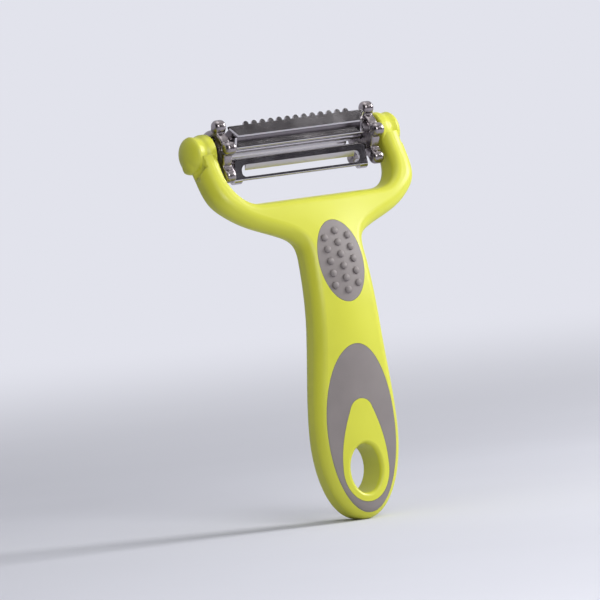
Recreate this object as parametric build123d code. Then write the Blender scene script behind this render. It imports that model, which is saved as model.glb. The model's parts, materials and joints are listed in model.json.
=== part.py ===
from build123d import *
import math
import os

# Vegetable peeler: a Y-shaped moulded handle whose fork carries a turning head with three blades.
# Millimetres. +Z runs up the handle from its tip, +X along the head's axis, -Y is the front.

# Handle, seen from the front
heel_height = 33.0
heel_width = 37.0
grip_height = 68.0
grip_width = 30.8
neck_height = 99.0
neck_width = 27.0
fork_width = 93.6
fork_arm_width = 8.9
fork_underside_rise = 16.2
fork_bridge_depth = 7.4
fork_gap_depth = 20.4
fork_shoulder_drop = 11.0
fork_gap_radius = 11.5

# Handle, seen from the side
bend_start_rise = 4.0
bend_radius = 119.0
heel_thickness = 14.0
grip_thickness = 14.6
neck_thickness = 13.4
fork_thickness = 11.2
heel_crown = 4.1
grip_crown = 6.0
crown_half_width = 20.0
crown_span_shares = (-1.0, -0.5, -0.25, 0.0, 0.25, 0.5, 1.0)
depth_section_count = 14
edge_radius = 4.6
gap_edge_radius = 3.2

# Points of the outer outline between the neck and the shoulder of the fork
underside_rise_shares = ((0.02, 0.38), (0.19, 0.62), (0.64, 1.0))
shoulder_rise_shares = ((0.87, 0.24), (0.96, 0.52))

# Bosses of the fork
boss_collar_radius = 7.5
boss_collar_length = 2.2
boss_collar_edge = 0.8
boss_waist_radius = 6.9
boss_barrel_radius = 7.1
boss_end_reach = 1.8
boss_waist_share = 0.25
boss_barrel_share = 0.55

# Hang hole
hang_hole_height = 19.3
hang_hole_width = 13.4
hang_hole_length = 18.6
hang_hole_rim_radius = 1.5

# Soft pads, let into the front of the handle
pad_depth = 3.4
pad_gap = 0.12
neck_pad_drop = 2.0
neck_pad_border = 3.5
neck_pad_length = 32.0
bump_radius = 1.35
bump_rise = 0.8
bump_end_margin = 4.4
bump_side_margin = 4.8
bump_column_counts = (5, 6, 5)
heel_pad_bottom = 2.6
heel_pad_drop = 1.3
heel_pad_border = 3.0

# Drop-shaped island round the hang hole, which the lower pad leaves open
island_side_wall = 3.7
island_foot_wall = 3.2
island_tail = 17.2
island_tip_radius = 5.1
island_tip_angle = 24.0

# Turning head
plate_gap = 1.5
plate_thickness = 5.0
plate_disc_radius = 8.7
lobe_pitch_radius = 10.45
lobe_radius = 2.6
lobe_first_angle = 70.0
blade_count = 3
lobes_per_blade = 2
lobe_edge_radius = 1.1
lobe_root_radius = 1.1
tie_rod_radius = 2.0
screw_radius = 1.2
screw_reach = 6.0
trunnion_radius = 2.0
trunnion_reach = 6.4
trunnion_end_gap = 0.4
sleeve_wall = 1.0
sleeve_flange_radius = 4.2
sleeve_flange_thickness = 0.5
running_clearance = 0.05
washer_thickness = 0.35
washer_outer_radius = 4.6

# Blades, which swivel on pins in the end plates
pin_pitch_radius = 5.3
pin_radius = 0.95
pin_head_radius = 1.5
pin_head_length = 0.7
pin_head_gap = 0.15
blade_sheet = 0.8
ear_sheet = 0.9

plain_pin_angle = -62.0
plain_end_gap = 0.8
plain_end_slant = 1.1
plain_corner_radius = 1.0
plain_face_reach = 3.7
plain_top_rise = 1.8
plain_bottom_drop = 6.9
plain_lip_depth = 1.2
plain_fold_radius = 0.7
slot_end_margin = 3.6
slot_top_drop = 0.8
slot_bottom_drop = 5.4
cutting_lip_height = 2.2
cutting_lip_tilt = 22.0
cutting_edge_sheet = 0.12
slot_corner_radius = 2.0
ear_radius = 2.2
ear_flank_share = 0.6
ear_curl_radius = 1.9
ear_curl_drop = 6.1

serration_count = 27
serration_depth = 0.7

toothed_pin_angle = 69.0
toothed_tilt = 24.0
toothed_end_gap = 0.3
toothed_ear_gap = 2.1
toothed_rail_reach = 5.7
toothed_rail_top = 2.5
toothed_rail_drop = 2.1
tooth_count = 13
tooth_row_margin = 8.2
tooth_rise = 1.4
tooth_radius = 1.15
toothed_corner_length = 3.0
toothed_corner_share = 0.8
ground_bevel = 0.45
lower_rail_reach = 2.6
lower_rail_top = -0.6
lower_rail_drop = 4.8
lower_rail_lip_radius = 0.9
lower_rail_end_gap = 1.0
lower_rail_corner = 1.7

cut_overrun = 5.0


# Heights up the handle
bend_start_height = grip_height + bend_start_rise
fork_underside_height = neck_height + fork_underside_rise
fork_floor_height = fork_underside_height + fork_bridge_depth
head_height = fork_floor_height + fork_gap_depth
fork_shoulder_height = head_height - fork_shoulder_drop

# Spreads from the middle of the fork
fork_gap_width = fork_width - 2 * fork_arm_width
boss_face_spread = fork_gap_width / 2
boss_end_spread = fork_width / 2 + boss_end_reach
plate_outer_spread = boss_face_spread - plate_gap
plate_inner_spread = plate_outer_spread - plate_thickness
sleeve_radius = trunnion_radius + running_clearance + sleeve_wall
trunnion_end = boss_face_spread + trunnion_reach
bore_end = trunnion_end + trunnion_end_gap
plain_half_length = plate_inner_spread - plain_end_gap
plain_ear_spread = plain_half_length - plain_end_slant
slot_half_length = plain_half_length - slot_end_margin
toothed_half_length = plate_inner_spread - toothed_end_gap
toothed_ear_spread = plate_inner_spread - toothed_ear_gap
lower_rail_half_length = plate_inner_spread - lower_rail_end_gap
tooth_pitch = 2 * (toothed_half_length - tooth_row_margin) / (tooth_count - 1)

# Pads and island
neck_pad_height = neck_height - neck_pad_drop
neck_pad_width = neck_width - 2 * neck_pad_border
bump_row_pitch = (neck_pad_length - 2 * bump_end_margin) / (max(bump_column_counts) - 1)
bump_column_pitch = neck_pad_width / 2 - bump_side_margin
heel_pad_top = grip_height - heel_pad_drop
heel_pad_width = heel_width - 2 * heel_pad_border
island_half_width = hang_hole_width / 2 + island_side_wall
island_bottom = hang_hole_height - hang_hole_length / 2 - island_foot_wall
island_top = hang_hole_height + hang_hole_length / 2 + island_tail

# The blades' pivots lie evenly round the head, but for the toothed blade's, which stands a little lower
blade_turn = 360 / blade_count
lobe_count = lobes_per_blade * blade_count
pin_angles = (plain_pin_angle, plain_pin_angle - blade_turn, toothed_pin_angle)


def setback(height):
    """How far the handle's middle lies behind its straight lower part."""
    rise = max(0.0, height - bend_start_height)
    return bend_radius - math.sqrt(bend_radius**2 - rise**2)


def lean(height):
    """Angle in radians by which the handle leans back."""
    rise = max(0.0, height - bend_start_height)
    return math.asin(rise / bend_radius)


def serrated_curl_reach():
    """How far the serrated blade's rolled ears reach behind the head's axis."""
    turn = math.radians(blade_turn)
    pin_reach = -pin_pitch_radius * math.cos(math.radians(pin_angles[1]))
    curl_front = plain_face_reach - ear_curl_radius
    return pin_reach - curl_front * math.cos(turn) + ear_curl_drop * math.sin(turn) + ear_curl_radius


# The middle of the whole part's depth lies at Y zero
handle_middle_y = (grip_thickness / 2 - setback(head_height) - serrated_curl_reach()) / 2
head_y = handle_middle_y + setback(head_height)
print("handle middle y", round(handle_middle_y, 4), "head axis y", round(head_y, 4))


def head_point(front, up):
    """Place in the YZ plane, measured from the head's axis."""
    return (head_y - front, head_height + up)


def ring_point(radius, angle):
    """Place in the YZ plane at a radius and an angle in degrees, 0 in front and 90 on top."""
    turn = math.radians(angle)
    return head_point(radius * math.cos(turn), radius * math.sin(turn))


def across(sketch, low, high):
    """Solid between two X stations from a sketch in the YZ plane."""
    return extrude(Plane.YZ.offset(low) * sketch, amount=high - low)


def spot(point, shape):
    """The shape moved to a point of its sketch plane."""
    return Pos(point[0], point[1]) * shape


def depth_at(height):
    """Thickness and crown of the handle at a height, between the heights where they are named."""
    if height <= heel_height:
        return heel_thickness, heel_crown
    stations = (
        (heel_height, heel_thickness, heel_crown),
        (grip_height, grip_thickness, grip_crown),
        (neck_height, neck_thickness, grip_crown),
        (fork_floor_height, fork_thickness, 0),
    )
    for low, high in zip(stations, stations[1:]):
        if height <= high[0]:
            share = (height - low[0]) / (high[0] - low[0])
            return low[1] + share * (high[1] - low[1]), low[2] + share * (high[2] - low[2])
    return fork_thickness, 0


def crown_drop(x, height):
    """How far the front falls away from its middle line, at a distance to the side."""
    return depth_at(height)[1] * x**2 / (x**2 + crown_half_width**2)


def depth_section(height):
    """Level cut through the handle's depth, wider than the handle and thickest in the middle."""
    middle = handle_middle_y + setback(height)
    reach = depth_at(height)[0] / 2 / math.cos(lean(height))
    front = []
    back = []
    for share in crown_span_shares:
        x = share * fork_width
        drop = crown_drop(x, height)
        front.append((x, middle - reach + drop))
        back.append((x, middle + reach - drop))
    lines = Spline(front) + Spline(back) + Line(front[0], back[0]) + Line(front[-1], back[-1])
    return Plane.XY.offset(height) * make_face(lines)


def handle_blank():
    """Handle and fork without pads and bosses, rounded along all edges."""
    half_neck = neck_width / 2
    half_fork = fork_width / 2
    underside_rise = fork_underside_height - neck_height
    side_points = [(heel_width / 2, heel_height), (grip_width / 2, grip_height), (half_neck, neck_height)]
    for width_share, rise_share in underside_rise_shares:
        x = half_neck + width_share * (half_fork - half_neck)
        side_points.append((x, neck_height + rise_share * underside_rise))
    shoulder_rise = fork_shoulder_height - fork_underside_height
    for width_share, rise_share in shoulder_rise_shares:
        side_points.append((width_share * half_fork, fork_underside_height + rise_share * shoulder_rise))
    side_points.append((half_fork, fork_shoulder_height))
    arm_top = (half_fork, head_height)
    side_points.append(arm_top)
    heel_middle = (0, heel_height)
    heel_arc = EllipticalCenterArc(heel_middle, heel_width / 2, heel_height, start_angle=270, arc_size=90)
    right_side = heel_arc + Spline(side_points, tangents=[(0, 1), (0, 1)])
    left_side = mirror(right_side, about=Plane.YZ)
    outline = make_face(right_side + left_side + Line(arm_top, (-half_fork, head_height)))
    depth = fork_width
    front_form = extrude(Plane.XZ * outline, amount=depth, both=True)

    rise = (head_height + boss_barrel_radius + cut_overrun) / (depth_section_count - 1)
    sections = [depth_section(number * rise - cut_overrun) for number in range(depth_section_count)]
    blank = front_form & loft(sections)

    rims = [edge for edge in blank.edges() if edge.center().Z < head_height - running_clearance]
    blank = fillet(rims, edge_radius)

    gap_height = 2 * (head_height - fork_floor_height)
    gap = RectangleRounded(fork_gap_width, gap_height, fork_gap_radius)
    gap = Pos(0, fork_floor_height + gap_height / 2) * gap
    opened = blank - extrude(Plane.XZ * gap, amount=depth, both=True)
    half_gap = fork_gap_width / 2 + running_clearance
    gap_rims = []
    lowest = fork_floor_height - running_clearance
    for edge in opened.edges():
        box = edge.bounding_box()
        inside = max(abs(box.min.X), abs(box.max.X)) < half_gap and box.min.Z > lowest
        if inside and edge.center().Z < head_height - running_clearance:
            gap_rims.append(edge)
    return fillet(gap_rims, gap_edge_radius)


def turned_about_head(profile_lines, side):
    """Solid of revolution about the head's axis, from lines in spread and radius."""
    shape = revolve(make_face(profile_lines), Axis.X)
    if side < 0:
        shape = mirror(shape, about=Plane.YZ)
    return Pos(0, head_y, head_height) * shape


def round_bar(radius, low, high, point, side=1):
    """Round bar between two spreads from the middle, on one side."""
    start = low if side > 0 else -high
    return across(spot(point, Circle(radius)), start, start + high - low)


def boss(side):
    """Collar towards the head, then a waisted barrel with a domed end."""
    collar_end = boss_face_spread + boss_collar_length
    barrel_length = boss_end_spread - collar_end
    corner = (boss_face_spread, boss_collar_radius - boss_collar_edge)
    shoulder = (boss_face_spread + boss_collar_edge, boss_collar_radius)
    back = [
        (collar_end, boss_collar_radius),
        (collar_end + boss_waist_share * barrel_length, boss_waist_radius),
        (collar_end + boss_barrel_share * barrel_length, boss_barrel_radius),
        (boss_end_spread, 0),
    ]
    lines = Line((boss_face_spread, 0), corner) + RadiusArc(corner, shoulder, boss_collar_edge)
    lines += Line(shoulder, back[0]) + Spline(back, tangents=[(1, 0), (0, -1)])
    lines += Line((boss_end_spread, 0), (boss_face_spread, 0))
    return turned_about_head(lines, side)


def pad_prism(outline, plane):
    """Prism through the front of the handle, down to the floor of a pad's pocket."""
    return extrude(plane.offset(-pad_depth) * outline, amount=pad_depth + cut_overrun)


def neck_pad_plane():
    """Plane on the front of the neck, square to it."""
    tilt = lean(neck_pad_height)
    reach = neck_thickness / 2
    y = handle_middle_y + setback(neck_pad_height) - reach * math.cos(tilt)
    z = neck_pad_height + reach * math.sin(tilt)
    return Plane(origin=(0, y, z), x_dir=(1, 0, 0), z_dir=(0, -math.cos(tilt), math.sin(tilt)))


def heel_pad_plane():
    """Plane on the front of the lower handle."""
    return Plane(origin=(0, handle_middle_y - heel_thickness / 2, 0), x_dir=(1, 0, 0), z_dir=(0, -1, 0))


def neck_pad_outline(gap):
    """Oval of the neck's pad, smaller by the gap round it."""
    return Ellipse(neck_pad_width / 2 - gap, neck_pad_length / 2 - gap)


def heel_pad_outline(gap):
    """Long oval with a drop-shaped island left open round the hang hole."""
    middle = (heel_pad_bottom + heel_pad_top) / 2
    oval = Pos(0, middle) * Ellipse(heel_pad_width / 2 - gap, (heel_pad_top - heel_pad_bottom) / 2 - gap)
    return oval - island_outline(gap)


def island_outline(gap):
    """Drop shape, wider by the gap: a round foot drawn out to a rounded tip on top."""
    half_width = island_half_width + gap
    tip_radius = island_tip_radius + gap
    turn = math.radians(island_tip_angle)
    tip_side = tip_radius * math.cos(turn)
    tip_height = island_top - island_tip_radius + tip_radius * math.sin(turn)
    widest = (half_width, hang_hole_height)
    foot = Pos(0, hang_hole_height) * Ellipse(half_width, hang_hole_height - island_bottom + gap)
    flank = Spline(widest, (tip_side, tip_height), tangents=[(0, 1), (-math.sin(turn), math.cos(turn))])
    cap = ThreePointArc((tip_side, tip_height), (0, island_top + gap), (-tip_side, tip_height))
    lines = flank + mirror(flank, about=Plane.YZ) + cap
    lines += Line(widest, (-half_width, hang_hole_height))
    return foot + make_face(lines)


def make_handle():
    """Handle core and its two soft pads."""
    blank = handle_blank()
    hole = Pos(0, hang_hole_height) * Ellipse(hang_hole_width / 2, hang_hole_length / 2)
    body = blank - extrude(Plane.XZ * hole, amount=fork_width, both=True)
    rims = []
    for edge in body.edges():
        box = edge.bounding_box()
        if box.max.X < hang_hole_width and box.min.X > -hang_hole_width and box.min.Z > island_bottom:
            if box.max.Z < island_top:
                rims.append(edge)
    body = fillet(rims, hang_hole_rim_radius)

    neck_pad = body & pad_prism(neck_pad_outline(pad_gap), neck_pad_plane())
    heel_pad = body & pad_prism(heel_pad_outline(pad_gap), heel_pad_plane())
    bumps = []
    for column, count in enumerate(bump_column_counts):
        x = (column - (len(bump_column_counts) - 1) / 2) * bump_column_pitch
        for row in range(count):
            along = (row - (count - 1) / 2) * bump_row_pitch
            rise = bump_rise - bump_radius - crown_drop(x, neck_pad_height + along)
            bumps.append(neck_pad_plane() * Pos(x, along, rise) * Sphere(bump_radius))
    neck_pad += bumps

    core = body - pad_prism(neck_pad_outline(0), neck_pad_plane())
    core -= pad_prism(heel_pad_outline(0), heel_pad_plane())
    core += [boss(side) for side in (1, -1)]
    middle = head_point(0, 0)
    for side in (1, -1):
        core -= round_bar(sleeve_radius, boss_face_spread - cut_overrun, bore_end, middle, side)
    return core, neck_pad, heel_pad


def lobed_plate_outline():
    """Six round lobes on a disc, with rounded roots between them."""
    outline = spot(head_point(0, 0), Circle(plate_disc_radius))
    for number in range(lobe_count):
        angle = lobe_first_angle + number * 360 / lobe_count
        outline += spot(ring_point(lobe_pitch_radius, angle), Circle(lobe_radius))
    return fillet(outline.vertices(), lobe_root_radius)


def end_plate(side):
    """Cast end plate of the head, with the seats of its pins and screw."""
    low = plate_inner_spread if side > 0 else -plate_outer_spread
    plate = across(lobed_plate_outline(), low, low + plate_thickness)
    plate = fillet(plate.edges(), lobe_edge_radius)
    plate -= round_bar(screw_radius, 0, boss_end_spread, head_point(0, 0), side)
    for angle in pin_angles:
        plate -= round_bar(pin_radius, 0, boss_end_spread, ring_point(pin_pitch_radius, angle), side)
    return plate


def trunnion_screw(side):
    """Shoulder screw: its shoulder turns in the sleeve, its shank holds the plate to the tie rod."""
    middle = head_point(0, 0)
    shank = round_bar(screw_radius, plate_inner_spread - screw_reach, plate_outer_spread, middle, side)
    return shank + round_bar(trunnion_radius, plate_outer_spread, trunnion_end, middle, side)


def bearing_sleeve(side):
    """Flanged sleeve pressed into the boss."""
    middle = head_point(0, 0)
    flange_face = boss_face_spread - sleeve_flange_thickness
    sleeve = round_bar(sleeve_radius, boss_face_spread, bore_end, middle, side)
    sleeve += round_bar(sleeve_flange_radius, flange_face, boss_face_spread, middle, side)
    bore = trunnion_radius + running_clearance
    return sleeve - round_bar(bore, flange_face - cut_overrun, bore_end + cut_overrun, middle, side)


def spring_washer(side):
    """Cone washer between the plate and the sleeve's flange."""
    inner = trunnion_radius + 2 * running_clearance
    flange_face = boss_face_spread - sleeve_flange_thickness
    low = plate_outer_spread + running_clearance
    lines = Polyline(
        (low, washer_outer_radius),
        (low + washer_thickness, washer_outer_radius),
        (flange_face, inner),
        (flange_face - washer_thickness, inner),
        close=True,
    )
    return turned_about_head(lines, side)


def tie_rod():
    """Spacer rod between the plates, bored at both ends for the screws."""
    middle = head_point(0, 0)
    rod = across(spot(middle, Circle(tie_rod_radius)), -plate_inner_spread, plate_inner_spread)
    for side in (1, -1):
        rod -= round_bar(screw_radius, plate_inner_spread - screw_reach, plate_inner_spread, middle, side)
    return rod


def pivot_pin(side, angle, ear_spread):
    """Headed pin that goes through a blade's ear and is riveted in the plate."""
    place = ring_point(pin_pitch_radius, angle)
    head_face = ear_spread - ear_sheet - pin_head_gap
    pin = round_bar(pin_radius, head_face, plate_outer_spread, place, side)
    return pin + round_bar(pin_head_radius, head_face - pin_head_length, head_face, place, side)


def blade_frame(angle, tilt):
    """Plane on a blade's pivot axis: x points out of the blade's face, y up along it."""
    y, z = ring_point(pin_pitch_radius, angle)
    turn = math.radians(tilt)
    return Plane(origin=(0, y, z), x_dir=(0, -math.cos(turn), math.sin(turn)), z_dir=(-1, 0, 0))


def along_blade(frame, sketch, half_length):
    """Solid of a blade's section over its whole length."""
    return extrude(frame * sketch, amount=half_length, both=True)


def face_plane(frame, reach):
    """Plane parallel to a blade's face, at a reach from its pivot."""
    return Plane(origin=frame.origin, x_dir=(1, 0, 0), z_dir=frame.x_dir).offset(reach)


def face_prism(frame, sketch, low, high):
    """Solid from a sketch in the blade's face, between two reaches from the pivot."""
    return extrude(face_plane(frame, low) * sketch, amount=high - low)


def plain_blade(frame, serrated):
    """Folded sheet channel with a long slot, a cutting lip along it and two pierced ears."""
    back = plain_face_reach - plain_lip_depth
    front = plain_face_reach
    inner = front - blade_sheet
    top = plain_top_rise
    bottom = -plain_bottom_drop
    channel = make_face(
        Polyline(
            (back, top), (front, top), (front, bottom), (back, bottom), (back, bottom + blade_sheet),
            (inner, bottom + blade_sheet), (inner, top - blade_sheet), (back, top - blade_sheet), close=True,
        )
    )
    outer_corners = [v for v in channel.vertices() if abs(v.X - front) < running_clearance]
    channel = fillet(outer_corners, plain_fold_radius)
    blade = along_blade(frame, channel, plain_half_length)
    face = make_face(
        Polyline(
            (-plain_half_length, bottom), (plain_half_length, bottom), (plain_ear_spread, top),
            (-plain_ear_spread, top), close=True,
        )
    )
    top_corners = [v for v in face.vertices() if v.Y > 0]
    blade &= face_prism(frame, fillet(top_corners, plain_corner_radius), 0, front + cut_overrun)

    slot_height = slot_bottom_drop - slot_top_drop
    slot_middle = -(slot_bottom_drop + slot_top_drop) / 2
    slot = Pos(0, slot_middle) * RectangleRounded(2 * slot_half_length, slot_height, slot_corner_radius)
    blade -= face_prism(frame, slot, 0, front + cut_overrun)

    edge_reach = front - cutting_lip_height * math.tan(math.radians(cutting_lip_tilt))
    lip_foot = -slot_top_drop - cutting_lip_height
    lip = make_face(
        Polyline(
            (inner, -slot_top_drop), (front, -slot_top_drop), (edge_reach, lip_foot),
            (edge_reach - cutting_edge_sheet, lip_foot), close=True,
        )
    )
    lip_solid = along_blade(frame, lip, slot_half_length - slot_corner_radius)
    if serrated:
        pitch = 2 * (slot_half_length - slot_corner_radius) / serration_count
        notches = Sketch()
        for number in range(serration_count):
            x = (number - (serration_count - 1) / 2) * pitch
            notch = Polyline(
                (x - pitch / 2, lip_foot - running_clearance), (x, lip_foot + serration_depth),
                (x + pitch / 2, lip_foot - running_clearance), close=True,
            )
            notches += make_face(notch)
        lip_solid -= face_prism(frame, notches, 0, front + cut_overrun)
    blade += lip_solid

    ear = Circle(ear_radius) + make_face(
        Polyline(
            (0, ear_radius), (inner, top - blade_sheet), (inner, bottom + blade_sheet),
            (back, bottom + blade_sheet), (-ear_radius * ear_flank_share, -ear_radius * ear_flank_share), close=True,
        )
    )
    ear -= Circle(pin_radius + running_clearance)
    curl_middle = Pos(front - ear_curl_radius, -ear_curl_drop)
    curl = curl_middle * (Circle(ear_curl_radius) - Circle(ear_curl_radius - blade_sheet))
    for side in (1, -1):
        start = side * (plain_ear_spread - ear_sheet)
        blade += extrude((frame.offset(-start)) * ear, amount=-side * ear_sheet)
        tab_length = plain_half_length - slot_half_length
        blade += extrude(frame.offset(-side * slot_half_length) * curl, amount=-side * tab_length)
    return blade


def toothed_blade(frame):
    """Raised rail with a row of teeth, a lower rail behind it and two pierced ears."""
    top = toothed_rail_top
    foot = -toothed_rail_drop
    half_top = toothed_half_length
    half_foot = toothed_half_length - toothed_corner_length
    corner_height = foot + toothed_corner_share * (top - foot)
    rail = make_face(
        Polyline(
            (-half_foot, foot), (half_foot, foot), (half_top, corner_height), (half_top, top),
            (-half_top, top), (-half_top, corner_height), close=True,
        )
    )
    rail_sheet = extrude(rail, amount=ear_sheet)
    lower_edges = []
    for edge in rail_sheet.edges():
        middle = edge.center()
        if middle.Z > ear_sheet - running_clearance and middle.Y < top - running_clearance:
            lower_edges.append(edge)
    blade = face_plane(frame, toothed_rail_reach - ear_sheet) * chamfer(lower_edges, ground_bevel)
    teeth = Sketch()
    for number in range(tooth_count):
        x = (number - (tooth_count - 1) / 2) * tooth_pitch
        teeth += Pos(x, top + tooth_rise - tooth_radius) * Circle(tooth_radius)
    blade += face_prism(frame, teeth, toothed_rail_reach - ear_sheet, toothed_rail_reach)

    lower_top = lower_rail_top
    lower_foot = -lower_rail_drop
    lower = make_face(
        Polyline(
            (-lower_rail_half_length, lower_foot), (lower_rail_half_length, lower_foot),
            (lower_rail_half_length, lower_top - lower_rail_corner),
            (lower_rail_half_length - lower_rail_corner, lower_top),
            (lower_rail_corner - lower_rail_half_length, lower_top),
            (-lower_rail_half_length, lower_top - lower_rail_corner), close=True,
        )
    )
    blade += face_prism(frame, lower, lower_rail_reach - ear_sheet, lower_rail_reach)
    lip_middle = (lower_rail_reach - lower_rail_lip_radius, lower_foot)
    blade += along_blade(frame, spot(lip_middle, Circle(lower_rail_lip_radius)), lower_rail_half_length)

    ear = Circle(ear_radius) + make_face(
        Polyline(
            (0, ear_radius), (toothed_rail_reach - ear_sheet, top), (toothed_rail_reach - ear_sheet, foot),
            (lower_rail_reach, lower_foot), (0, -ear_radius), close=True,
        )
    )
    ear -= Circle(pin_radius + running_clearance)
    for side in (1, -1):
        start = side * (toothed_ear_spread - ear_sheet)
        blade += extrude(frame.offset(-start) * ear, amount=-side * ear_sheet)
    return blade


def write_node(name, shape):
    export_step(shape, "parts/" + name + ".step")


os.makedirs("parts", exist_ok=True)
handle_core, neck_grip_pad, heel_grip_pad = make_handle()
write_node("handle_core", handle_core)
write_node("neck_grip_pad", neck_grip_pad)
write_node("heel_grip_pad", heel_grip_pad)

for side_name, side in (("right", 1), ("left", -1)):
    write_node(side_name + "_bearing_sleeve", bearing_sleeve(side))
    write_node(side_name + "_spring_washer", spring_washer(side))
    write_node(side_name + "_end_plate", end_plate(side))
    write_node(side_name + "_trunnion_screw", trunnion_screw(side))
    write_node("plain_blade_" + side_name + "_pin", pivot_pin(side, pin_angles[0], plain_ear_spread))
    write_node("serrated_blade_" + side_name + "_pin", pivot_pin(side, pin_angles[1], plain_ear_spread))
    write_node("toothed_blade_" + side_name + "_pin", pivot_pin(side, pin_angles[2], toothed_ear_spread))

write_node("head_tie_rod", tie_rod())
write_node("plain_blade", plain_blade(blade_frame(pin_angles[0], 0), serrated=False))
write_node("serrated_blade", plain_blade(blade_frame(pin_angles[1], -blade_turn), serrated=True))
write_node("toothed_blade", toothed_blade(blade_frame(pin_angles[2], toothed_tilt)))
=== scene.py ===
"""Vegetable peeler with a turning three-blade head: cast and moulded pieces, finishes, light and camera."""
import json
import math

import bpy
import bmesh
from mathutils import Matrix, Vector


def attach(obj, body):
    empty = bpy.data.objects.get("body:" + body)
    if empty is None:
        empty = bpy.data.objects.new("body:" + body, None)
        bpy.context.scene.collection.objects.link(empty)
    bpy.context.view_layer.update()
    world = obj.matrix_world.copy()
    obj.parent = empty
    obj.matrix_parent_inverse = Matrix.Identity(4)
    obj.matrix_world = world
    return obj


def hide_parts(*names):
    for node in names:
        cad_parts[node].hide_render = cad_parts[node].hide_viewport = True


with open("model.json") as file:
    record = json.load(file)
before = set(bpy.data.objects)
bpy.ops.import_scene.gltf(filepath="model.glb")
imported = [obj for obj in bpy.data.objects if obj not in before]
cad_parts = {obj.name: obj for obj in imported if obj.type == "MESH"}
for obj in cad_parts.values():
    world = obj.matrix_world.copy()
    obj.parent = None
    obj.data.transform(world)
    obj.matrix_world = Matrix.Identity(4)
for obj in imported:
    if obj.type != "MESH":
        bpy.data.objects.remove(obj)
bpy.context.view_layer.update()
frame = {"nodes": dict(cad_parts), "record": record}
nodes = frame["nodes"]
slots = {row["node"]: row["material_slot"] for row in frame["record"]["subparts"]}

MM = 0.001

# Camera: its angle on the object in degrees, its lengths in millimetres, and where the photograph has the
# handle's tip, which lies at the depth TIP_DEPTH along Y
CAMERA_AZIMUTH = -34.0
CAMERA_ELEVATION = 3.3
CAMERA_ROLL = 5.7
CAMERA_DISTANCE = 5000.0
CAMERA_REACH = 50000.0
SENSOR_WIDTH = 36.0
IMAGE_SIDE = 600
PIXELS_PER_MM = 2.65
TIP_PIXEL = (362.2, 518.8)
TIP_DEPTH = -14.79

# Cast end plates, in millimetres and degrees. Each lobe has its angle round the head, 0 in front and 90 on
# top, and its distance from the head's axis. The web's faces lie WEB_INSET inside the lobes' ends. The
# casting's mesh has cells of CAST_GRAIN and is smoothed CAST_SMOOTHING times. SCREW_BORE is the radius of the
# bore on the head's axis, and BORE_PLAY is added to the radius of every bore
LOBE_PLACES = ((70.0, 10.4), (9.0, 9.5), (-50.5, 11.6), (-129.5, 11.6), (171.0, 9.5))
LOBE_RADIUS = 2.6
LOBE_CROWN = 1.7
STEM_RADIUS = 2.1
WEB_RADIUS = 8.7
WEB_INSET = 0.45
WEB_EDGE = 0.9
CAST_GRAIN = 0.2
CAST_SMOOTHING = 8
SCREW_BORE = 1.2
BORE_PLAY = 0.02

# Domed ends of the fork's bosses, in millimetres. The dome meets the outer face of the arm below it, which
# lies BOSS_END_REACH inside the boss's end, is flat within ARM_FLAT of its middle and rounded by ARM_EDGE
# beyond. The cutter goes DOME_SWEEP past the boss
DOME_LENGTH = 4.0
DOME_RADIUS = 7.2
DOME_SWEEP = 3.0
DOME_STEPS = 16
BOSS_END_REACH = 1.75
ARM_EDGE = 4.6
ARM_FLAT = 1.0

# Round bumps of the neck pad, in millimetres: columns across the pad with so many bumps each. What rises more
# than BUMP_FOOT_RISE within BUMP_REACH of a bump's middle belongs to it. The pad's level beside a bump is
# felt for at PAD_FEELERS places, from FEELER_START along Y, which lies in front of the handle
BUMP_COUNTS = (5, 6, 5)
BUMP_SIDE_MARGIN = 4.8
BUMP_END_MARGIN = 4.4
BUMP_RADIUS = 1.5
BUMP_RISE = 1.0
BUMP_REACH = 1.9
BUMP_FOOT_RISE = 0.04
PAD_FEELERS = 8
FEELER_START = -60.0

# Meshes: points round a circle, steps in a rounded rim, the angle in degrees past which an edge stays sharp,
# and the distance in metres within which two corners are taken for the same
ROUND_STEPS = 64
ARC_STEPS = 10
SHARP_EDGE = 35.0
KEY_STEP = 2e-7

# Finishes: scales are in waves per metre, and most of a noise lies within NOISE_RANGE. Polishing lines are
# stretched along X. A pale highlight is painted along edges where the rounded normal is less like the plain
# one than the first of EDGE_LIKENESS, and fully at the second
NOISE_RANGE = (0.3, 0.7)
LINE_STRETCH = (40.0, 5200.0, 5200.0)
TARNISH_SCALE = 150.0
PIT_SHARE = 0.25
EDGE_LIKENESS = (0.995, 0.9)
GLINT_LIFT = 0.25

# Stage, in metres: the floor fades into the backdrop between the two distances of FLOOR_FADE from the middle
FLOOR_RADIUS = 1.5
FLOOR_STEPS = 96
FLOOR_FADE = (0.2, 1.2)
FLOOR_TONES = (0.98, 1.02)
BLOTCH_SCALE = 5.0

# World: its light on matt surfaces, and what metal mirrors, which is dark in front and turns pale between two
# shares of Y, and turns to the bright top between two shares of Z
WORLD_LIGHT = 0.21
WORLD_TINT = (0.95, 0.96, 1.0, 1.0)
FRONT_TO_BACK = (0.0, 0.35)
SIDES_TO_TOP = (0.66, 0.86)

# Lamps, aimed at LAMP_TARGET: steps from there to the lamp along the view's right, up and back, the lamp's
# side, all in metres, and its power in watts
LAMP_TARGET = (0.0, 0.0, 0.08)
LAMPS = {
    "key": ((0.84, 0.52, -0.12), 0.4, 9.5),
    "top": ((0.0, 1.1, 0.1), 0.7, 2.0),
    "front": ((0.3, 0.42, 0.86), 0.4, 4.4),
}

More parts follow.
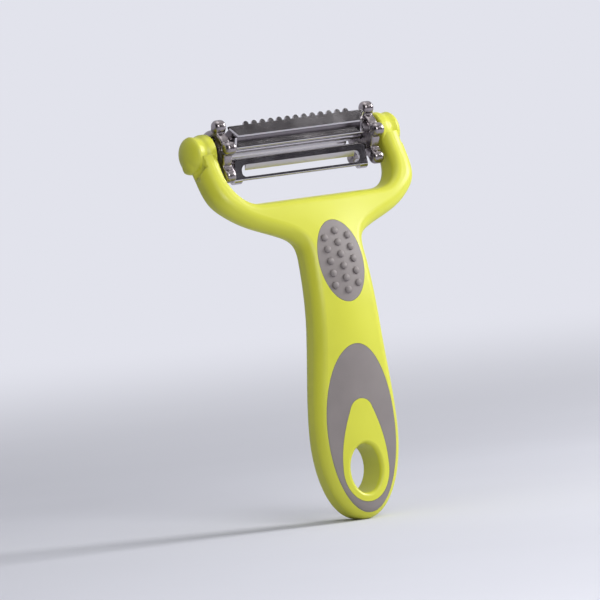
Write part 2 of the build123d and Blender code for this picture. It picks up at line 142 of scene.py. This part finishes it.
# Colours, chosen so that the lit pieces show as in the photograph
LIME = "C6C83A"
# The next colour is a painted highlight along the lime moulding's edges
LIME_GLINT = "D6D868"
GRIP_GREY = "7C7574"
NICKEL = "958E91"
STEEL = "BAB6B9"
# The next colour is a painted highlight along the metal parts' edges
METAL_GLINT = "F2EFF0"
SLEEVE = "E6E4DC"
FLOOR = "D9DAE3"
BACKDROP = "E2E3EC"
STUDIO_DARK = "2C292E"
STUDIO_TOP = "FFFFFF"
BLACK = (0.0, 0.0, 0.0, 1.0)
WHITE = (1.0, 1.0, 1.0, 1.0)


def linear(hex_colour):
    """Linear RGBA from an sRGB colour written as six hex digits."""
    parts = [part / 255 for part in bytes.fromhex(hex_colour)]
    lit = [part / 12.92 if part <= 0.04045 else ((part + 0.055) / 1.055) ** 2.4 for part in parts]
    return (*lit, 1.0)


def new_group(name, inputs, outputs):
    """Empty shader node group with float inputs (name, default) and outputs (name, socket kind)."""
    group = bpy.data.node_groups.new(name, "ShaderNodeTree")
    for socket, value in inputs:
        made = group.interface.new_socket(socket, in_out="INPUT", socket_type="NodeSocketFloat")
        made.default_value = value
    for socket, kind in outputs:
        group.interface.new_socket(socket, in_out="OUTPUT", socket_type=kind)
    entry = group.nodes.new("NodeGroupInput")
    leave = group.nodes.new("NodeGroupOutput")
    return group, entry, leave


def feed(tree, value, socket):
    """Set a socket to a number, or link another socket to it."""
    if isinstance(value, (int, float)):
        socket.default_value = value
    else:
        tree.links.new(value, socket)


def math_node(tree, operation, *values):
    """Math node whose inputs are numbers or sockets; returns its output."""
    node = tree.nodes.new("ShaderNodeMath")
    node.operation = operation
    for place, value in enumerate(values):
        feed(tree, value, node.inputs[place])
    return node.outputs[0]


def noise_node(tree, vector, scale, detail=2.0, roughness=0.5):
    """Noise texture on a vector; scale may be a number or a socket."""
    node = tree.nodes.new("ShaderNodeTexNoise")
    node.inputs["Detail"].default_value = detail
    node.inputs["Roughness"].default_value = roughness
    tree.links.new(vector, node.inputs["Vector"])
    feed(tree, scale, node.inputs["Scale"])
    return node.outputs["Fac"]


def mapped(tree, value, given, wanted=(0.0, 1.0), interpolation="LINEAR"):
    """Value taken from the given range to the wanted one."""
    node = tree.nodes.new("ShaderNodeMapRange")
    node.interpolation_type = interpolation
    for end, number in zip(("From Min", "From Max", "To Min", "To Max"), (*given, *wanted)):
        node.inputs[end].default_value = number
    tree.links.new(value, node.inputs["Value"])
    return node.outputs["Result"]


def mixed_colour(tree, factor, colour, other):
    """Colour that goes from a socket's to another by a factor."""
    node = tree.nodes.new("ShaderNodeMix")
    node.data_type = "RGBA"
    tree.links.new(factor, node.inputs["Factor"])
    tree.links.new(colour, node.inputs["A"])
    node.inputs["B"].default_value = other
    return node.outputs["Result"]


def mixed_shader(tree, factor, shader, other):
    """Shader that goes from one node's to another's by a factor."""
    node = tree.nodes.new("ShaderNodeMixShader")
    tree.links.new(factor, node.inputs["Fac"])
    tree.links.new(shader.outputs[0], node.inputs[1])
    tree.links.new(other.outputs[0], node.inputs[2])
    return node


def moulded_skin_group():
    """Spark-eroded mould grain with slow waviness: a height and a slow mottle from 0 to 1."""
    group, entry, leave = new_group(
        "moulded_skin",
        [("Grain Scale", 2600.0), ("Wave Scale", 60.0), ("Wave Share", 0.3)],
        [("Height", "NodeSocketFloat"), ("Mottle", "NodeSocketFloat")],
    )
    place = group.nodes.new("ShaderNodeTexCoord").outputs["Object"]
    grain = noise_node(group, place, entry.outputs["Grain Scale"], detail=3.0, roughness=0.6)
    wave = noise_node(group, place, entry.outputs["Wave Scale"])
    waved = math_node(group, "MULTIPLY", wave, entry.outputs["Wave Share"])
    group.links.new(math_node(group, "ADD", grain, waved), leave.inputs["Height"])
    group.links.new(wave, leave.inputs["Mottle"])
    return group


def polishing_lines_group():
    """Fine lines along X that polishing leaves on metal, with faint smears across them."""
    group, entry, leave = new_group(
        "polishing_lines",
        [("Line Scale", 1.0), ("Smear Scale", 120.0)],
        [("Height", "NodeSocketFloat"), ("Smear", "NodeSocketFloat")],
    )
    place = group.nodes.new("ShaderNodeTexCoord").outputs["Object"]
    stretch = group.nodes.new("ShaderNodeMapping")
    stretch.inputs["Scale"].default_value = LINE_STRETCH
    group.links.new(place, stretch.inputs["Vector"])
    lines = noise_node(group, stretch.outputs["Vector"], entry.outputs["Line Scale"])
    smear = noise_node(group, place, entry.outputs["Smear Scale"], detail=3.0)
    group.links.new(lines, leave.inputs["Height"])
    group.links.new(smear, leave.inputs["Smear"])
    return group


def cast_skin_group():
    """Soft orange-peel of a plated casting with fine pits, and slow patches of tarnish from 0 to 1."""
    group, entry, leave = new_group(
        "cast_skin",
        [("Peel Scale", 420.0), ("Pit Scale", 1500.0)],
        [("Height", "NodeSocketFloat"), ("Tarnish", "NodeSocketFloat")],
    )
    place = group.nodes.new("ShaderNodeTexCoord").outputs["Object"]
    peel = noise_node(group, place, entry.outputs["Peel Scale"], detail=1.0)
    pits = noise_node(group, place, entry.outputs["Pit Scale"])
    group.links.new(math_node(group, "MULTIPLY_ADD", pits, PIT_SHARE, peel), leave.inputs["Height"])
    group.links.new(noise_node(group, place, TARNISH_SCALE, detail=3.0), leave.inputs["Tarnish"])
    return group


def painted_edge_glint_group():
    """Mask for a painted highlight, from 0 on faces to 1 along the edges, broken up by a fine noise."""
    group, entry, leave = new_group(
        "painted_edge_glint",
        [("Edge Width", 0.0002), ("Glint Scale", 900.0)],
        [("Mask", "NodeSocketFloat")],
    )
    rounded = group.nodes.new("ShaderNodeBevel")
    group.links.new(entry.outputs["Edge Width"], rounded.inputs["Radius"])
    plain = group.nodes.new("ShaderNodeNewGeometry").outputs["Normal"]
    likeness = group.nodes.new("ShaderNodeVectorMath")
    likeness.operation = "DOT_PRODUCT"
    group.links.new(rounded.outputs["Normal"], likeness.inputs[0])
    group.links.new(plain, likeness.inputs[1])
    edge = mapped(group, likeness.outputs["Value"], EDGE_LIKENESS)
    place = group.nodes.new("ShaderNodeTexCoord").outputs["Object"]
    patches = noise_node(group, place, entry.outputs["Glint Scale"], detail=3.0)
    patchy = math_node(group, "ADD", patches, GLINT_LIFT)
    group.links.new(math_node(group, "MULTIPLY", edge, patchy), leave.inputs["Mask"])
    return group


def new_material(name):
    """Material with its Principled shader and tree, ready for links."""
    material = bpy.data.materials.new(name)
    material.use_nodes = True
    tree = material.node_tree
    return material, tree, tree.nodes["Principled BSDF"]


def place_group(tree, group, values):
    """The group in a material, with this material's own values."""
    node = tree.nodes.new("ShaderNodeGroup")
    node.node_tree = group
    for socket, value in values.items():
        node.inputs[socket].default_value = value
    return node


def ramp(tree, factor, low, high, stops=NOISE_RANGE):
    """Colour between two colours by a factor."""
    node = tree.nodes.new("ShaderNodeValToRGB")
    for element, stop, colour in zip(node.color_ramp.elements, stops, (low, high)):
        element.position = stop
        element.color = colour
    tree.links.new(factor, node.inputs["Fac"])
    return node.outputs["Color"]


def shade(colour, factor):
    """A colour made lighter or darker by a factor."""
    return tuple(min(1.0, part * factor) for part in colour[:3]) + (1.0,)


def bump(tree, height, shader, distance, strength):
    """Bump node from a height to the shader's normal."""
    node = tree.nodes.new("ShaderNodeBump")
    node.inputs["Distance"].default_value = distance
    node.inputs["Strength"].default_value = strength
    tree.links.new(height, node.inputs["Height"])
    tree.links.new(node.outputs["Normal"], shader.inputs["Normal"])


def mottled_material(name, skin, scales, colour, tones, roughness, relief):
    """Material whose colour and roughness follow its skin's mottle, and whose bump follows the skin's height.

    tones are the factors of the darkest and the lightest colour, roughness is a range or one number, and
    relief is the bump's depth in metres and its strength.
    """
    material, tree, shader = new_material(name)
    height, mottle = place_group(tree, skin, scales).outputs
    dark, light = (shade(linear(colour), tone) for tone in tones)
    tree.links.new(ramp(tree, mottle, dark, light), shader.inputs["Base Color"])
    if isinstance(roughness, float):
        shader.inputs["Roughness"].default_value = roughness
    else:
        tree.links.new(mapped(tree, mottle, NOISE_RANGE, roughness), shader.inputs["Roughness"])
    bump(tree, height, shader, *relief)
    return material


def paint_edge_glints(material, edges, width, scale, glint_colour):
    """Paint a paler highlight along the material's edges."""
    tree = material.node_tree
    base = tree.nodes["Principled BSDF"].inputs["Base Color"]
    mask = place_group(tree, edges, {"Edge Width": width, "Glint Scale": scale}).outputs["Mask"]
    tree.links.new(mixed_colour(tree, mask, base.links[0].from_socket, linear(glint_colour)), base)


def make_metal(material):
    """Turn a material's shader to metal."""
    material.node_tree.nodes["Principled BSDF"].inputs["Metallic"].default_value = 1.0


def lime_plastic(skin, edges):
    """Satin lime moulding, with a pale highlight painted along its edges."""
    scales = {"Grain Scale": 2400.0, "Wave Scale": 45.0, "Wave Share": 0.5}
    material = mottled_material("lime_plastic", skin, scales, LIME,
                                tones=(0.97, 1.03), roughness=(0.36, 0.44), relief=(0.000012, 0.5))
    # Painted highlight: a pale glint along the edges
    paint_edge_glints(material, edges, width=0.0003, scale=700.0, glint_colour=LIME_GLINT)
    return material


def soft_grip(skin):
    """Matt grey soft rubber."""
    scales = {"Grain Scale": 3600.0, "Wave Scale": 90.0, "Wave Share": 0.3}
    return mottled_material("grey_soft_grip", skin, scales, GRIP_GREY,
                            tones=(0.94, 1.05), roughness=(0.46, 0.56), relief=(0.00002, 0.6))


def plated_casting(skin, edges):
    """Polished dark nickel on the cast end plates, with a pale highlight painted along their edges."""
    scales = {"Peel Scale": 380.0, "Pit Scale": 1400.0}
    material = mottled_material("plated_casting", skin, scales, NICKEL,
                                tones=(0.92, 1.05), roughness=(0.24, 0.3), relief=(0.00002, 0.2))
    # Painted highlight: a near-white glint along the edges
    paint_edge_glints(material, edges, width=0.00025, scale=900.0, glint_colour=METAL_GLINT)
    make_metal(material)
    return material


def polished_steel(name, skin, edges, roughness):
    """Polished steel with fine lines along the blade or pin, and a pale highlight painted along its edges."""
    scales = {"Line Scale": 1.0, "Smear Scale": 140.0}
    material = mottled_material(name, skin, scales, STEEL,
                                tones=(0.96, 1.02), roughness=roughness, relief=(0.000004, 0.2))
    # Painted highlight: a near-white glint along the edges
    paint_edge_glints(material, edges, width=0.00018, scale=900.0, glint_colour=METAL_GLINT)
    make_metal(material)
    return material


def sleeve_plastic(skin):
    """Pale bearing plastic."""
    scales = {"Grain Scale": 3000.0, "Wave Scale": 90.0, "Wave Share": 0.2}
    return mottled_material("sleeve_plastic", skin, scales, SLEEVE,
                            tones=(0.95, 1.0), roughness=0.45, relief=(0.00001, 0.4))


def give_materials():
    """Each CAD node's material slots get the finish of its record slot."""
    moulded = moulded_skin_group()
    polished = polishing_lines_group()
    cast = cast_skin_group()
    # This group masks the edges where a pale highlight is painted
    edges = painted_edge_glint_group()
    finishes = {
        "lime_plastic": lime_plastic(moulded, edges),
        "grey_soft_grip": soft_grip(moulded),
        "sleeve_plastic": sleeve_plastic(moulded),
        "plated_casting": plated_casting(cast, edges),
        "blade_steel": polished_steel("blade_steel", polished, edges, roughness=(0.13, 0.18)),
        "pin_steel": polished_steel("pin_steel", polished, edges, roughness=(0.15, 0.25)),
    }
    for name, node in nodes.items():
        node.data.materials.clear()
        node.data.materials.append(finishes[slots[name]])
        for polygon in node.data.polygons:
            polygon.material_index = 0


def box_of(name):
    """Lowest and highest corner of a CAD node, in millimetres."""
    node = nodes[name]
    places = [node.matrix_world @ vertex.co for vertex in node.data.vertices]
    low = Vector([min(place[i] for place in places) for i in range(3)]) / MM
    high = Vector([max(place[i] for place in places) for i in range(3)]) / MM
    return low, high


def bar_along_x(name):
    """Middle (y, z) and radius of a CAD node that is round about a line along X, in millimetres."""
    low, high = box_of(name)
    return ((low[1] + high[1]) / 2, (low[2] + high[2]) / 2), (high[1] - low[1]) / 2


def turned_solid(shape, middle, profile):
    """Closed solid turned about a line along X through the middle (y, z), in millimetres.

    The profile holds (x, radius). Its x may be a function of the turn, which is zero towards +Y and grows
    towards +Z.
    """
    rings = []
    for x, radius in profile:
        steps = ROUND_STEPS if radius > 0 else 1
        ring = []
        for step in range(steps):
            turn = 2 * math.pi * step / steps
            along = x(turn) if callable(x) else x
            place = Vector((along, middle[0] + radius * math.cos(turn), middle[1] + radius * math.sin(turn)))
            ring.append(shape.verts.new(place * MM))
        rings.append(ring)
    for ring, next_ring in zip(rings, rings[1:]):
        for step in range(ROUND_STEPS):
            after = (step + 1) % ROUND_STEPS
            corners = [ring[step % len(ring)], ring[after % len(ring)]]
            corners += [next_ring[after % len(next_ring)], next_ring[step % len(next_ring)]]
            shape.faces.new(list(dict.fromkeys(corners)))


def rounded_bar(low, high, radius, edge):
    """Profile of a round bar from low to high along X, with both rims rounded."""
    arc = [math.pi / 2 * step / ARC_STEPS for step in range(ARC_STEPS + 1)]
    rim = [(edge * (1 - math.sin(angle)), radius - edge * (1 - math.cos(angle))) for angle in arc]
    first = [(low + inset, height) for inset, height in reversed(rim)]
    last = [(high - inset, height) for inset, height in rim]
    return [(low, 0)] + first + last + [(high, 0)]


def stem(shape, middle, lobe, low, high):
    """Flat bar from the middle of the plate to a lobe."""
    along = (Vector(lobe) - Vector(middle)).normalized()
    side = Vector((-along[1], along[0])) * STEM_RADIUS
    corners = [Vector(middle) - side, Vector(lobe) - side, Vector(lobe) + side, Vector(middle) + side]
    below = [shape.verts.new(Vector((low, *corner)) * MM) for corner in corners]
    above = [shape.verts.new(Vector((high, *corner)) * MM) for corner in corners]
    shape.faces.new(below[::-1])
    shape.faces.new(above)
    for first in range(len(corners)):
        second = (first + 1) % len(corners)
        shape.faces.new([below[first], below[second], above[second], above[first]])


def add_object(name, data):
    """New object in the scene."""
    made = bpy.data.objects.new(name, data)
    bpy.context.scene.collection.objects.link(made)
    return made


def finished_mesh(name, mesh, cutter_mesh, cast=False):
    """The mesh with a casting's soft blends, where asked, and with the cutter taken away."""
    piece = add_object(name, mesh)
    cutter = add_object(name + "_cutter", cutter_mesh)
    if cast:
        grain = piece.modifiers.new("grain", "REMESH")
        grain.mode = "VOXEL"
        grain.voxel_size = CAST_GRAIN * MM
        blends = piece.modifiers.new("blends", "SMOOTH")
        blends.iterations = CAST_SMOOTHING
    cut = piece.modifiers.new("cut", "BOOLEAN")
    cut.operation = "DIFFERENCE"
    cut.solver = "EXACT"
    cut.object = cutter
    bpy.context.view_layer.update()
    graph = bpy.context.evaluated_depsgraph_get()
    finished = bpy.data.meshes.new_from_object(piece.evaluated_get(graph))
    bpy.data.objects.remove(piece)
    bpy.data.objects.remove(cutter)
    if cast:
        finished.shade_smooth()
        finished.set_sharp_from_angle(angle=math.radians(SHARP_EDGE))
    return finished


def corner_key(mesh, polygon, loop):
    """Names a corner by the places of its vertex and its face, to a hair's breadth."""
    vertex = mesh.vertices[mesh.loops[loop].vertex_index].co
    return tuple(round(value / KEY_STEP) for value in (*vertex, *polygon.center))


def keep_normals(finished, source):
    """Give the faces that the cut left alone the normals that they had."""
    known = {}
    for polygon in source.polygons:
        for loop in polygon.loop_indices:
            known[corner_key(source, polygon, loop)] = source.corner_normals[loop].vector.copy()
    normals = [None] * len(finished.loops)
    for polygon in finished.polygons:
        for loop in polygon.loop_indices:
            key = corner_key(finished, polygon, loop)
            normals[loop] = known.get(key, finished.corner_normals[loop].vector.copy())
    finished.normals_split_custom_set(normals)


def mesh_of(name, shape):
    """Mesh from a shape whose faces all look outwards."""
    bmesh.ops.recalc_face_normals(shape, faces=shape.faces)
    for face in shape.faces:
        face.smooth = True
    mesh = bpy.data.meshes.new(name)
    shape.to_mesh(mesh)
    shape.free()
    return mesh


def head_axis():
    """Y and Z of the line that the head turns about, in millimetres."""
    return bar_along_x("head_tie_rod")[0]


def dome_cutter(shape, side, end):
    """What the domed end of one boss leaves off the straight barrel; side is 1 or -1."""
    def start(turn):
        """Where the dome begins: on the arm's rounded outer face below, further in everywhere else."""
        if math.sin(turn) > 0:
            return end - DOME_LENGTH
        off_flat = max(0.0, DOME_RADIUS * abs(math.cos(turn)) - ARM_FLAT)
        if off_flat >= ARM_EDGE:
            return end - DOME_LENGTH
        rounding = ARM_EDGE - math.sqrt(ARM_EDGE ** 2 - off_flat ** 2)
        return max(end - DOME_LENGTH, end - BOSS_END_REACH - rounding)

    def dome_place(share):
        """Function of the turn that gives x at one share of the way from the tip to the dome's foot."""
        return lambda turn: side * (start(turn) + (end - start(turn)) * math.cos(math.pi / 2 * share))

    profile = [(side * end, 0)]
    for step in range(1, DOME_STEPS + 1):
        share = step / DOME_STEPS
        profile.append((dome_place(share), DOME_RADIUS * math.sin(math.pi / 2 * share)))
    outer = DOME_RADIUS + DOME_SWEEP
    profile += [(dome_place(1), outer), (side * (end + DOME_SWEEP), outer), (side * (end + DOME_SWEEP), 0)]
    turned_solid(shape, head_axis(), profile)


def domed_handle():
    """The handle as the CAD has it, with the bosses' ends domed."""
    shape = bmesh.new()
    end = box_of("handle_core")[1][0]
    dome_cutter(shape, 1, end)
    dome_cutter(shape, -1, end)
    source = nodes["handle_core"].data
    mesh = finished_mesh("domed_handle", source.copy(), mesh_of("domes", shape))
    keep_normals(mesh, source)
    stand_for("handle_core", "domed_handle", mesh, "handle")


def pad_level(pad, x, z):
    """Point and outward normal of the pad's own surface round a place, felt at a ring of points beside it."""
    ring = []
    for step in range(PAD_FEELERS):
        turn = 2 * math.pi * step / PAD_FEELERS
        start = Vector((x + BUMP_REACH * math.cos(turn), FEELER_START, z + BUMP_REACH * math.sin(turn))) * MM
        ring.append(pad.ray_cast(start, Vector((0, 1, 0)))[1])
    middle = sum(ring, Vector()) / len(ring)
    right, above, left, below = ring[::PAD_FEELERS // 4]
    normal = (right - left).cross(above - below).normalized()
    return middle, normal if normal.y < 0 else -normal


def round_up_bump(mesh, middle, normal):
    """Move the points of one bump onto an even round dome."""
    raised = []
    for vertex in mesh.vertices:
        offset = vertex.co - middle
        height = offset.dot(normal)
        beside = offset - normal * height
        if height > BUMP_FOOT_RISE * MM and beside.length < BUMP_REACH * MM:
            raised.append((vertex, beside))
    if not raised:
        return
    shift = sum((beside for _, beside in raised), Vector()) / len(raised)
    foot = max((beside - shift).length for _, beside in raised)
    for vertex, beside in raised:
        beside = beside - shift
        share = beside.length / foot
        rise = BUMP_RISE * math.sqrt(1 - share ** 2)
        outwards = beside.normalized() * BUMP_RADIUS * share
        vertex.co = middle + shift + (outwards + normal * rise) * MM


def bumped_pad():
    """The neck pad with even round bumps."""
    pad = nodes["neck_grip_pad"]
    low, high = box_of("neck_grip_pad")
    mesh = pad.data.copy()
    rows = max(BUMP_COUNTS)
    row_pitch = (high[2] - low[2] - 2 * BUMP_END_MARGIN) / (rows - 1)
    column_pitch = high[0] - BUMP_SIDE_MARGIN
    middle_column = (len(BUMP_COUNTS) - 1) / 2
    for column, count in enumerate(BUMP_COUNTS):
        for row in range(count):
            x = (column - middle_column) * column_pitch
            z = (low[2] + high[2]) / 2 + (row - (count - 1) / 2) * row_pitch
            round_up_bump(mesh, *pad_level(pad, x, z))
    mesh.normals_split_custom_set([(0, 0, 0)] * len(mesh.loops))
    mesh.shade_smooth()
    mesh.set_sharp_from_angle(angle=math.radians(SHARP_EDGE))
    keep_normals(mesh, pad.data)
    stand_for("neck_grip_pad", "bumped_pad", mesh, "handle")


def stand_for(node_name, piece_name, mesh, body):
    """Put a piece in a CAD node's place, with its finish and on its body."""
    piece = add_object(piece_name, mesh)
    mesh.materials.clear()
    mesh.materials.append(nodes[node_name].data.materials[0])
    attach(piece, body)
    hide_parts(node_name)


def cast_plate(side):
    """End plate of the head as it is cast: barrel-shaped lobes that blend into a thinner web."""
    low, high = box_of(side + "_end_plate")
    middle = head_axis()
    shape = bmesh.new()
    turned_solid(shape, middle, rounded_bar(low[0] + WEB_INSET, high[0] - WEB_INSET, WEB_RADIUS, WEB_EDGE))
    for angle, reach in LOBE_PLACES:
        turn = math.radians(angle)
        lobe = (middle[0] - reach * math.cos(turn), middle[1] + reach * math.sin(turn))
        turned_solid(shape, lobe, rounded_bar(low[0], high[0], LOBE_RADIUS, LOBE_CROWN))
        stem(shape, middle, lobe, low[0] + WEB_INSET, high[0] - WEB_INSET)
    bores = bmesh.new()
    thickness = high[0] - low[0]
    start = low[0] - thickness
    end = high[0] + thickness
    places = [(middle, SCREW_BORE)]
    places += [bar_along_x(blade + "_blade_" + side + "_pin") for blade in ("plain", "serrated", "toothed")]
    for place, radius in places:
        bore = radius + BORE_PLAY
        turned_solid(bores, place, [(start, 0), (start, bore), (end, bore), (end, 0)])
    name = side + "_cast_plate"
    mesh = finished_mesh(name, mesh_of(name, shape), mesh_of(name + "_bores", bores), cast=True)
    stand_for(side + "_end_plate", name, mesh, "head")


def floor_material():
    """Pale matt floor that keeps the shadow and fades into the backdrop with distance."""
    material, tree, shader = new_material("pale_floor")
    place = tree.nodes.new("ShaderNodeTexCoord").outputs["Object"]
    blotch = noise_node(tree, place, BLOTCH_SCALE)
    dark, light = (shade(linear(FLOOR), tone) for tone in FLOOR_TONES)
    tree.links.new(ramp(tree, blotch, dark, light), shader.inputs["Base Color"])
    shader.inputs["Roughness"].default_value = 0.9
    shader.inputs["Specular IOR Level"].default_value = 0.1
    reach = tree.nodes.new("ShaderNodeVectorMath")
    reach.operation = "LENGTH"
    tree.links.new(place, reach.inputs[0])
    far = mapped(tree, reach.outputs["Value"], FLOOR_FADE, interpolation="SMOOTHSTEP")
    path = tree.nodes.new("ShaderNodeLightPath")
    faded = math_node(tree, "MULTIPLY", far, path.outputs["Is Camera Ray"])
    pale = tree.nodes.new("ShaderNodeEmission")
    pale.inputs["Color"].default_value = linear(BACKDROP)
    surface = mixed_shader(tree, faded, shader, pale)
    tree.links.new(surface.outputs[0], tree.nodes["Material Output"].inputs["Surface"])
    return material


def make_floor():
    """Round floor at the height of the handle's tip."""
    mesh = bpy.data.meshes.new("floor")
    shape = bmesh.new()
    bmesh.ops.create_circle(shape, cap_ends=True, radius=FLOOR_RADIUS, segments=FLOOR_STEPS)
    shape.to_mesh(mesh)
    shape.free()
    floor = add_object("floor", mesh)
    mesh.materials.append(floor_material())


def make_world():
    """Pale backdrop for the camera; metal sees a pale room with a dark front, as in a photographer's tent."""
    world = bpy.data.worlds.new("studio")
    bpy.context.scene.world = world
    world.use_nodes = True
    tree = world.node_tree
    tree.nodes.clear()
    out = tree.nodes.new("ShaderNodeOutputWorld")
    direction = tree.nodes.new("ShaderNodeTexCoord").outputs["Generated"]
    split = tree.nodes.new("ShaderNodeSeparateXYZ")
    tree.links.new(direction, split.inputs["Vector"])
    front = ramp(tree, split.outputs["Y"], linear(STUDIO_DARK), linear(BACKDROP), FRONT_TO_BACK)
    front.node.color_ramp.interpolation = "EASE"
    above = ramp(tree, split.outputs["Z"], BLACK, WHITE, SIDES_TO_TOP)
    mirrored = tree.nodes.new("ShaderNodeBackground")
    tree.links.new(mixed_colour(tree, above, front, linear(STUDIO_TOP)), mirrored.inputs["Color"])
    seen = tree.nodes.new("ShaderNodeBackground")
    seen.inputs["Color"].default_value = linear(BACKDROP)
    light = tree.nodes.new("ShaderNodeBackground")
    light.inputs["Color"].default_value = WORLD_TINT
    light.inputs["Strength"].default_value = WORLD_LIGHT
    path = tree.nodes.new("ShaderNodeLightPath")
    glossy = math_node(tree, "MAXIMUM", path.outputs["Is Glossy Ray"], path.outputs["Is Transmission Ray"])
    lit = mixed_shader(tree, glossy, light, mirrored)
    shown = mixed_shader(tree, path.outputs["Is Camera Ray"], lit, seen)
    tree.links.new(shown.outputs[0], out.inputs["Surface"])


def soft_lamp(name, place, target, side, power):
    """Square area lamp at a place, aimed at a target; metres and watts."""
    data = bpy.data.lights.new(name, "AREA")
    data.shape = "SQUARE"
    data.size = side
    data.energy = power
    lamp = add_object(name, data)
    lamp.location = place
    lamp.rotation_euler = (target - place).to_track_quat("-Z", "Y").to_euler()


def make_lamps():
    """A key from the right, a weak top lamp and a frontal one, placed by the photograph's own directions."""
    axes = view_axes()
    target = Vector(LAMP_TARGET)
    for name, (steps, side, power) in LAMPS.items():
        place = target.copy()
        for axis, step in zip(axes, steps):
            place += axis * step
        soft_lamp(name, place, target, side, power)


def view_axes():
    """Right, up and towards-camera directions of the photograph."""
    azimuth = math.radians(CAMERA_AZIMUTH)
    elevation = math.radians(CAMERA_ELEVATION)
    roll = math.radians(CAMERA_ROLL)
    back = Vector((
        math.sin(azimuth) * math.cos(elevation),
        -math.cos(azimuth) * math.cos(elevation),
        math.sin(elevation),
    ))
    level = Vector((0, 0, 1)).cross(back).normalized()
    upright = back.cross(level)
    right = level * math.cos(roll) - upright * math.sin(roll)
    up = level * math.sin(roll) + upright * math.cos(roll)
    return right, up, back


def make_camera():
    """Long lens at the photograph's angle, framed on the tip's pixel."""
    right, up, back = view_axes()
    tip = Vector((0, TIP_DEPTH * MM, 0))
    middle = IMAGE_SIDE / 2
    target = tip + right * ((middle - TIP_PIXEL[0]) / PIXELS_PER_MM * MM)
    target += up * ((TIP_PIXEL[1] - middle) / PIXELS_PER_MM * MM)
    data = bpy.data.cameras.new("camera")
    data.sensor_width = SENSOR_WIDTH
    data.lens = PIXELS_PER_MM * CAMERA_DISTANCE * SENSOR_WIDTH / IMAGE_SIDE
    data.clip_end = CAMERA_REACH * MM
    camera = add_object("camera", data)
    place = target + back * (CAMERA_DISTANCE * MM)
    turn = Matrix((right, up, back)).transposed()
    camera.matrix_world = Matrix.Translation(place) @ turn.to_4x4()
    bpy.context.scene.camera = camera


give_materials()
cast_plate("left")
cast_plate("right")
domed_handle()
bumped_pad()
make_floor()
make_world()
make_lamps()
make_camera()
bpy.context.scene.view_settings.view_transform = "Standard"
